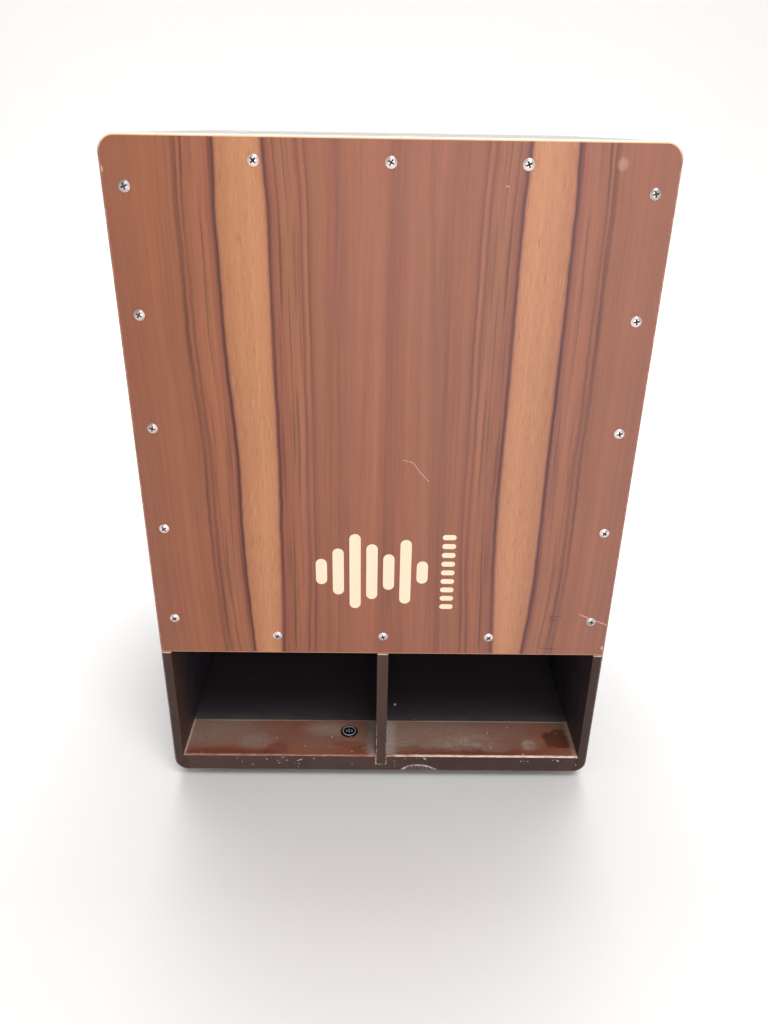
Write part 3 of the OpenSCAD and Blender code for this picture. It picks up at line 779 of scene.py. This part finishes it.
def makeBottom():
    bm = boardCopy("bottom_panel")
    onFace = bothAt(1, faceY)
    for face in bm.faces:
        face.material_index = 0
        if face.normal.z > 0.9 and near(face.calc_center_median().z, portFloor):
            face.material_index = 1
    ease(bm, boxSpec["mouthEase"], lambda a, b: onFace(a, b) and bothAt(2, portFloor)(a, b), paint=2)

    def lowerEdge(a, b):
        return onFace(a, b) and max(a.z, b.z) < slotFootZ + 0.1 * mm and not bothAt(2, slotFootZ)(a, b)

    ease(bm, boxSpec["outerEase"], lowerEdge, paint=3)
    makePiece("bottomPanel", bm, ["footPaint", "portFloorPaint", "wornArrisHighlight", "rubbedPaint"],
        ["bottom_panel"], weighted=True)


def makeSide(nodeName, pieceName, side):
    bm = boardCopy(nodeName)
    onFace = bothAt(1, faceY)
    for face in bm.faces:
        middle = face.calc_center_median()
        face.material_index = 0
        if face.normal.x * side < -0.9 and near(abs(middle.x), innerX):
            face.material_index = 1
        if face.normal.z > 0.9 and near(middle.z, ledgeZ):
            face.material_index = 2
    outer = sideHigh.x - boxSpec["outerBand"]
    atEnd = [bothAt(2, ledgeZ), bothAt(2, slotFootZ)]

    def outerEdge(a, b):
        return onFace(a, b) and min(abs(a.x), abs(b.x)) > outer and not any(end(a, b) for end in atEnd)

    def innerEdge(a, b):
        return onFace(a, b) and near(abs(a.x), innerX) and near(abs(b.x), innerX)

    ease(bm, boxSpec["outerEase"], outerEdge, paint=3)
    ease(bm, boxSpec["sideEase"], innerEdge, segments=2, paint=0)
    ease(bm, boxSpec["ledgeEase"], lambda a, b: onFace(a, b) and bothAt(2, ledgeZ)(a, b), segments=2, paint=2)
    makePiece(pieceName, bm, ["brownPaint", "portWallPaint", "paleLedge", "rubbedPaint"],
        [nodeName], weighted=True)


def makeDivider():
    bm = boardCopy("port_divider")
    onFace = bothAt(1, faceY)
    for face in bm.faces:
        face.material_index = 0
        if abs(face.normal.x) > 0.9:
            face.material_index = 1
        if face.normal.z > 0.9 and near(face.calc_center_median().z, ledgeZ):
            face.material_index = 2
    ease(bm, boxSpec["dividerEase"], lambda a, b: onFace(a, b) and near(a.x, b.x), segments=2, paint=3)
    ease(bm, boxSpec["ledgeEase"], lambda a, b: onFace(a, b) and bothAt(2, ledgeZ)(a, b), segments=2, paint=2)
    makePiece("portDivider", bm, ["brownPaint", "portWallPaint", "paleLedge", "dividerEdge"],
        ["port_divider"], weighted=True)


def makeBack():
    bm = boardCopy("back_panel")
    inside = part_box("back_panel")[0].y
    for face in bm.faces:
        face.material_index = 2 if face.normal.y < -0.9 and near(face.calc_center_median().y, inside) else 0
    ease(bm, boxSpec["outerEase"], bothAt(1, backY), paint=1)
    makePiece("backPanel", bm, ["brownPaint", "rubbedPaint", "blackPaint"],
        ["back_panel"], weighted=True)


def makeTop():
    bm = boardCopy("top_panel")
    makePiece("seatPanel", bm, ["seatPaint"], ["top_panel"], weighted=True)


makeBottom()
makeSide("left_side_panel", "leftSidePanel", -1)
makeSide("right_side_panel", "rightSidePanel", 1)
makeDivider()
makeBack()
makeTop()
print("box made")


screwSpec = {
    # sizes of the plate screws' cross, taken down in step with a smaller head
    "headR": 3.6 * mm, "recessWidth": 1.35 * mm, "recessReach": 5.5 * mm,
    "recessShare": 0.85,             # of the crown that the cross cuts through
    "taper": (0.55, 0.62, 1),        # foot of the cross against its mouth
    "around": 36,
    # shares of the head's radius and of its crown
    "dome": [
        (0, 1), (0.30, 0.98), (0.52, 0.91), (0.68, 0.78), (0.77, 0.62), (0.82, 0.44), (0.93, 0.36),
        (0.98, 0.29), (1, 0.2),
    ],
}
screwCrown = {
    "plate_screws": 1.4 * mm, "rail_screws": 1.4 * mm, "clip_screws": 1.2 * mm, "foot_screws": 2.0 * mm,
}
screwShank = {
    "plate_screws": 1.75 * mm, "rail_screws": 1.75 * mm, "clip_screws": 1.25 * mm, "foot_screws": 2.0 * mm,
}


def crossCutter(spec):
    # two tapered bars that cross, standing over the head's crown
    bm = bmesh.new()
    size = (spec["recessReach"], spec["recessWidth"], spec["crown"] * spec["recessShare"] * 2)
    for turn in (0, 90):
        verts = bmesh.ops.create_cube(bm, size=1)["verts"]
        bmesh.ops.scale(bm, vec=size, verts=verts)
        bmesh.ops.scale(bm, vec=spec["taper"], verts=[v for v in verts if v.co.z > 0])
        around = Matrix.Rotation(math.radians(turn), 3, "Z")
        bmesh.ops.rotate(bm, cent=(0, 0, 0), matrix=around, verts=verts)
    bmesh.ops.translate(bm, vec=(0, 0, -spec["crown"]), verts=bm.verts)
    return bm


def screwMaster(headR, shankR, length, spec):
    # one screw along +Z, its head under z = 0, with the cross cut by a boolean
    profile = [(headR * r, -spec["crown"] * h) for r, h in spec["dome"]]
    profile += [(headR, 0), (shankR, 0), (shankR, length - shankR * 2), (0, length)]
    bm = bmesh.new()
    spinProfile(bm, profile, spec["around"])
    bmesh.ops.recalc_face_normals(bm, faces=bm.faces)
    body = bpy.data.objects.new("screwBody", bpy.data.meshes.new("screwBody"))
    bm.to_mesh(body.data)
    body.data.materials.append(finishes["screwNickel"])
    bm.free()
    cutter = bpy.data.objects.new("screwCross", bpy.data.meshes.new("screwCross"))
    bm = crossCutter(spec)
    bmesh.ops.recalc_face_normals(bm, faces=bm.faces)
    bm.to_mesh(cutter.data)
    cutter.data.materials.append(finishes["screwRecessShade"])
    bm.free()
    for thing in (body, cutter):
        scene.collection.objects.link(thing)
    cut = body.modifiers.new("cross", "BOOLEAN")
    cut.operation = "DIFFERENCE"
    cut.solver = "EXACT"
    cut.use_self = True
    cut.material_mode = "TRANSFER"
    cut.object = cutter
    bpy.context.view_layer.update()
    solid = bpy.data.meshes.new_from_object(body.evaluated_get(bpy.context.evaluated_depsgraph_get()))
    for thing in (body, cutter):
        bpy.data.objects.remove(thing)
    return solid


def placeScrews(name, nodeName, master, places):
    # one copy of the master for each matrix in places
    bm = bmesh.new()
    for matrix in places:
        before = len(bm.verts)
        bm.from_mesh(master)
        bm.verts.ensure_lookup_table()
        bmesh.ops.transform(bm, matrix=matrix, verts=bm.verts[before:])
    makePiece(name, bm, ["screwNickel", "screwRecessShade"], [nodeName], smooth=35)


def looseParts(nodeName):
    # boxes of a node's separate solids
    bm = bmesh.new()
    bm.from_mesh(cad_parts[nodeName].data)
    bmesh.ops.remove_doubles(bm, verts=bm.verts, dist=weld)
    left = set(bm.verts)
    found = []
    while left:
        grow = [left.pop()]
        group = set(grow)
        while grow:
            for edge in grow.pop().link_edges:
                for v in edge.verts:
                    if v in left:
                        left.discard(v)
                        group.add(v)
                        grow.append(v)
        low = Vector([min(v.co[i] for v in group) for i in range(3)])
        high = Vector([max(v.co[i] for v in group) for i in range(3)])
        found.append((low, high))
    bm.free()
    return sorted(found, key=lambda pair: tuple(round(c, 4) for c in pair[0]))


def screwPlaces(nodeName, axis, headLow):
    # a matrix that puts the master on each CAD screw: axis 1 is Y and 2 is Z,
    # and headLow says that the head is at the low end
    dice = random.Random(nodeName)
    found = []
    for low, high in looseParts(nodeName):
        middle = (low + high) / 2
        crown = screwCrown[nodeName]
        middle[axis] = low[axis] + crown if headLow else high[axis] - crown
        if axis == 1:
            turn = Matrix.Rotation(math.radians(-90 if headLow else 90), 4, "X")
        else:
            turn = Matrix.Rotation(0 if headLow else math.pi, 4, "X")
        spin = Matrix.Rotation(math.radians(dice.uniform(0, 90)), 4, "Z")
        found.append(Matrix.Translation(middle) @ turn @ spin)
    return found


def makeScrews():
    jobs = [("plateScrews", "plate_screws", 1, True), ("railScrews", "rail_screws", 1, False),
        ("clipScrews", "clip_screws", 1, True), ("footScrews", "foot_screws", 2, True)]
    for name, nodeName, axis, headLow in jobs:
        low, high = looseParts(nodeName)[0]
        size = high - low
        headR = size[0] / 2
        crown = screwCrown[nodeName]
        share = headR / screwSpec["headR"]
        spec = dict(screwSpec, crown=crown, recessReach=screwSpec["recessReach"] * share,
            recessWidth=screwSpec["recessWidth"] * share)
        master = screwMaster(headR, screwShank[nodeName], size[axis] - crown, spec)
        placeScrews(name, nodeName, master, screwPlaces(nodeName, axis, headLow))


makeScrews()
print("screws made")


emblemSpec = {
    "left": -51.3, "right": 32.7, "low": 164.0, "high": 227.8,      # mm on the plate
    "bars": [0.34, 0.62, 1.0, 0.74, 0.48, 0.86, 0.30],              # heights as shares of the tallest
    "barWidth": 8.4,
    "ink": 0.12, "sunk": 0.02,                                      # mm proud of the plate and in it
    "meter": dict(left=42.6, right=52.8, dashes=9, share=0.56),     # the slim column beside it
}


def roundedBar(bm, x0, x1, z0, z1):
    # one printed bar, in mm on the plate
    front, back = faceY - emblemSpec["ink"] * mm, faceY + emblemSpec["sunk"] * mm
    x0, x1, z0, z1 = x0 * mm, x1 * mm, boxBottom + z0 * mm, boxBottom + z1 * mm
    verts = bmesh.ops.create_cube(bm, size=1)["verts"]
    bmesh.ops.scale(bm, vec=(x1 - x0, back - front, z1 - z0), verts=verts)
    bmesh.ops.translate(bm, vec=((x0 + x1) / 2, (front + back) / 2, (z0 + z1) / 2), verts=verts)
    corners = [e for e in {e for v in verts for e in v.link_edges}
        if near(e.verts[0].co.x, e.verts[1].co.x) and near(e.verts[0].co.z, e.verts[1].co.z)]
    bmesh.ops.bevel(bm, geom=corners, offset=min(x1 - x0, z1 - z0) * 0.499, segments=10, profile=0.5,
        affect="EDGES", material=-1)


def makeEmblem():
    spec = emblemSpec
    bm = bmesh.new()
    count = len(spec["bars"])
    step = (spec["right"] - spec["left"] - spec["barWidth"]) / (count - 1)
    middle = (spec["low"] + spec["high"]) / 2
    tall = spec["high"] - spec["low"]
    for i, share in enumerate(spec["bars"]):
        x0 = spec["left"] + i * step
        roundedBar(bm, x0, x0 + spec["barWidth"], middle - tall * share / 2, middle + tall * share / 2)
    meter = spec["meter"]
    pitch = tall / (meter["dashes"] - 1 + meter["share"])
    for i in range(meter["dashes"]):
        z0 = spec["low"] + i * pitch
        roundedBar(bm, meter["left"], meter["right"], z0, z0 + pitch * meter["share"])
    makePiece("plateEmblem", bm, ["creamInk"])


makeEmblem()
print("emblem made")


badgeSpec = {
    "footEase": 0.3 * mm, "topEase": 0.4 * mm, "crownIn": 0.9 * mm, "crownDrop": 0.1 * mm,
    "ringWidth": 1.0 * mm, "ringEase": 0.2 * mm, "ringShoulder": 0.6,       # share of the ring's height
    # the generic mark: three bars inside the ring
    "bars": [0.4, 0.8, 0.55], "barWidth": 1.3 * mm, "barPitch": 2.3 * mm, "barTall": 5.2 * mm,
    "barEase": 0.12 * mm,
}


def lathe(bm, profile, middle, steps=48):
    # a turned shape moved to its place; the shapes already there are tagged and stay
    spinProfile(bm, profile, steps)
    bmesh.ops.translate(bm, vec=middle, verts=[v for v in bm.verts if not v.tag])
    for v in bm.verts:
        v.tag = True


def badgeRing(bm, middle, outer, h):
    spec = badgeSpec
    inner = outer - spec["ringWidth"]
    shoulder = h * spec["ringShoulder"]
    lathe(bm, [
        (inner, 0), (outer, 0), (outer, shoulder), (outer - spec["ringEase"], h),
        (inner + spec["ringEase"], h), (inner, shoulder), (inner, 0),
    ], middle)


def makeBadge():
    spec = badgeSpec
    low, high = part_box("badge_disc")
    middle = Vector(((low.x + high.x) / 2, (low.y + high.y) / 2, low.z))
    r, t = (high.x - low.x) / 2, high.z - low.z
    bm = bmesh.new()
    lathe(bm, [
        (0, 0), (r - spec["footEase"], 0), (r, spec["footEase"]), (r, t - spec["topEase"]),
        (r - spec["topEase"], t - spec["crownDrop"]), (r - spec["crownIn"], t), (0, t),
    ], middle)
    makePiece("badgeDisc", bm, ["glossBlack"], ["badge_disc"])
    ringLow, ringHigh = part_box("badge_ring")
    h = ringHigh.z - ringLow.z
    bm = bmesh.new()
    badgeRing(bm, Vector((middle.x, middle.y, ringLow.z)), (ringHigh.x - ringLow.x) / 2, h)
    for i, share in enumerate(spec["bars"]):
        x = middle.x + (i - 1) * spec["barPitch"]
        verts = bmesh.ops.create_cube(bm, size=1)["verts"]
        bmesh.ops.scale(bm, vec=(spec["barWidth"], spec["barTall"] * share, h), verts=verts)
        bmesh.ops.translate(bm, vec=(x, middle.y, ringLow.z + h / 2), verts=verts)
        edges = list({e for v in verts for e in v.link_edges})
        bmesh.ops.bevel(bm, geom=edges, offset=spec["barEase"], segments=2, profile=0.5, affect="EDGES",
            material=-1)
    makePiece("badgeRing", bm, ["badgeSilver"], ["badge_ring"])


makeBadge()
print("badge made")


footSpec = {
    "taper": 2 * mm,         # how much slimmer the foot is at the ground
    "well": 6.5 * mm, "hole": 2.3 * mm,      # radii
    "web": 3.2 * mm,         # rubber over the well
    "wellEase": 0.6 * mm, "groundEase": 1.0 * mm, "topEase": 1.2 * mm, "edge": 0.3 * mm, "around": 56,
}


def makeFeet():
    spec = footSpec
    bm = bmesh.new()
    for low, high in looseParts("rubber_feet"):
        middle = Vector(((low.x + high.x) / 2, (low.y + high.y) / 2, low.z))
        top, h = (high.x - low.x) / 2, high.z - low.z
        tip, well, hole, web = top - spec["taper"], spec["well"], spec["hole"], h - spec["web"]
        lathe(bm, [
            (well, spec["wellEase"]), (well + spec["wellEase"], 0), (tip - spec["groundEase"], 0),
            (tip - spec["edge"], spec["edge"]), (tip, spec["groundEase"]), (top, h - spec["topEase"]),
            (top - spec["edge"], h), (hole, h), (hole, web), (well, web), (well, spec["wellEase"]),
        ], middle, spec["around"])
    makePiece("rubberFeet", bm, ["mouldedRubber"], ["rubber_feet"], smooth=50)


makeFeet()
print("feet made")


battenSpec = {
    "nodes": [side + "_batten" for side in ("front_left", "front_right", "front_top", "front_bottom",
        "rear_left", "rear_right", "rear_top", "rear_bottom")] + ["snare_rail"],
    "ease": 0.5 * mm,
    "black": ["rear_bottom_batten"],     # it stands in the duct behind the ports and is painted with it
}


def camel(name):
    first, *rest = name.split("_")
    return first + "".join(word.capitalize() for word in rest)


def makeBattens():
    for nodeName in battenSpec["nodes"]:
        low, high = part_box(nodeName)
        longest = max(high - low)
        bm = boardCopy(nodeName)
        ease(bm, battenSpec["ease"], lambda a, b: (b - a).length > 0.6 * longest, segments=2, paint=0)
        finish = "blackPaint" if nodeName in battenSpec["black"] else "softwood"
        makePiece(camel(nodeName), bm, [finish], [nodeName])


snareSpec = {"wireR": 0.28 * mm, "pitch": 1.9 * mm, "turnSteps": 8, "sides": 5}


def coilMesh(radius, length):
    # one wire: a close coil of thin steel along +Z
    spec = snareSpec
    turns = int(length / spec["pitch"])
    steps = turns * spec["turnSteps"]
    bm = bmesh.new()
    bmesh.ops.create_circle(bm, cap_ends=True, segments=spec["sides"], radius=spec["wireR"])
    bmesh.ops.rotate(bm, cent=(0, 0, 0), matrix=Matrix.Rotation(math.radians(90), 3, "X"), verts=bm.verts)
    bmesh.ops.translate(bm, vec=(radius, 0, 0), verts=bm.verts)
    bmesh.ops.spin(bm, geom=bm.faces[:], cent=(0, 0, 0), axis=(0, 0, 1), dvec=(0, 0, length / steps),
        angle=math.tau * turns, steps=steps)
    mesh = bpy.data.meshes.new("coil")
    bm.to_mesh(mesh)
    bm.free()
    return mesh


def makeWires(nodeName, pieceName):
    bm = bmesh.new()
    parts = looseParts(nodeName)
    low, high = parts[0]
    reach, wireR = (high.x - low.x) / 2, snareSpec["wireR"]
    start = Vector((0, high.y - reach, low.z + wireR))
    end = Vector((0, low.y + reach, high.z - wireR))
    coil = coilMesh(reach - wireR, (end - start).length)
    lean = (end - start).to_track_quat("Z", "Y").to_matrix().to_4x4()
    for low, high in parts:
        begin = len(bm.verts)
        bm.from_mesh(coil)
        bm.verts.ensure_lookup_table()
        shift = Matrix.Translation(start + Vector(((low.x + high.x) / 2, 0, 0)))
        bmesh.ops.transform(bm, matrix=shift @ lean, verts=bm.verts[begin:])
    makePiece(pieceName, bm, ["snareWire"], [nodeName], smooth=60)


# nodes that keep their CAD shape
nodeFinish = {
    "left_snare_clip": "zincSteel", "right_snare_clip": "zincSteel", "snare_felt": "felt",
    "port_shelf": "blackPaint", "foot_washers": "zincSteel",
}


def dressNode(nodeName):
    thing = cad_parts[nodeName]
    thing.data.materials.clear()
    thing.data.materials.append(finishes[nodeFinish[nodeName]])


makeBattens()
makeWires("left_snare_wires", "leftSnareWires")
makeWires("right_snare_wires", "rightSnareWires")
for nodeName in nodeFinish:
    dressNode(nodeName)
print("battens and snares made")


stageSpec = {
    "radius": 3.2, "bend": 1.3, "top": 3.0, "around": 72, "arcSteps": 12,       # metres
    "colour": "#FAF9F8", "fibre": "#F0EFED",
}


def makeStage():
    # a round floor of pale paper whose edge curves up into a low wall
    spec = stageSpec
    rise = [math.radians(90) * i / spec["arcSteps"] for i in range(spec["arcSteps"] + 1)]
    profile = [(0, 0)]
    profile += [(spec["radius"] + spec["bend"] * math.sin(a), spec["bend"] * (1 - math.cos(a))) for a in rise]
    profile.append((spec["radius"] + spec["bend"], spec["top"]))
    bm = bmesh.new()
    spinProfile(bm, profile, spec["around"])
    bmesh.ops.recalc_face_normals(bm, faces=bm.faces)
    if next(f for f in bm.faces if near(f.calc_center_median().z, 0)).normal.z < 0:
        bmesh.ops.reverse_faces(bm, faces=bm.faces)
    mesh = bpy.data.meshes.new("studioFloor")
    bm.to_mesh(mesh)
    bm.free()
    mesh.shade_smooth()
    s = Shader("studioPaper")
    fibre = s.evenNoise(0.2, detail=2)
    mesh.materials.append(s.finish(s.mix(s.times(fibre, 0.1), spec["colour"], spec["fibre"]), 0.8))
    paper = bpy.data.objects.new("studioFloor", mesh)
    scene.collection.objects.link(paper)


makeStage()

print("done")
